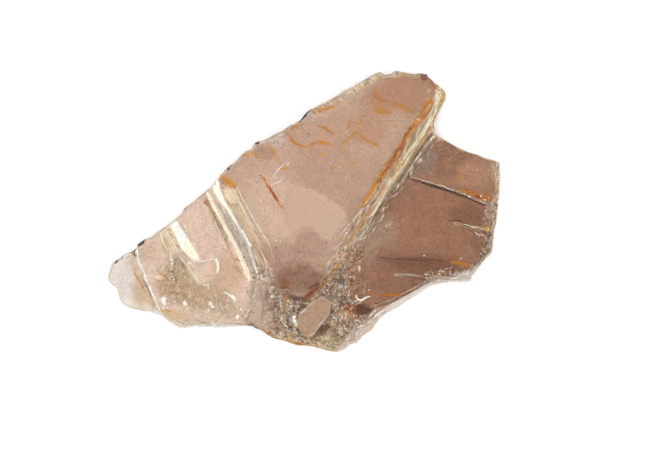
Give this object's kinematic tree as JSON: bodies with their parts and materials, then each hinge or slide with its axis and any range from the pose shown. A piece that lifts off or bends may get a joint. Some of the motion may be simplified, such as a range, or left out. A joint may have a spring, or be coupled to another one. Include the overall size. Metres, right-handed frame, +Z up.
{
  "type": "muscovite specimen",
  "caption": "Flat book of pinkish-brown mica with stepped sheet edges, raised bundles of kinks and a crushed foot, lying on its cleavage face.",
  "frame": {"origin": "middle of the outline's box, on the resting face", "axes": "+X along the long side of the outline, +Y across it towards the crest, +Z up out of the cleavage face"},
  "size_m": [0.0985, 0.0707, 0.0059],
  "materials": {
    "mica": "translucent, pearly on the cleavage faces"
  },
  "bodies": {
    "root": {"muscovite_book": "mica"}
  },
  "joints": []
}
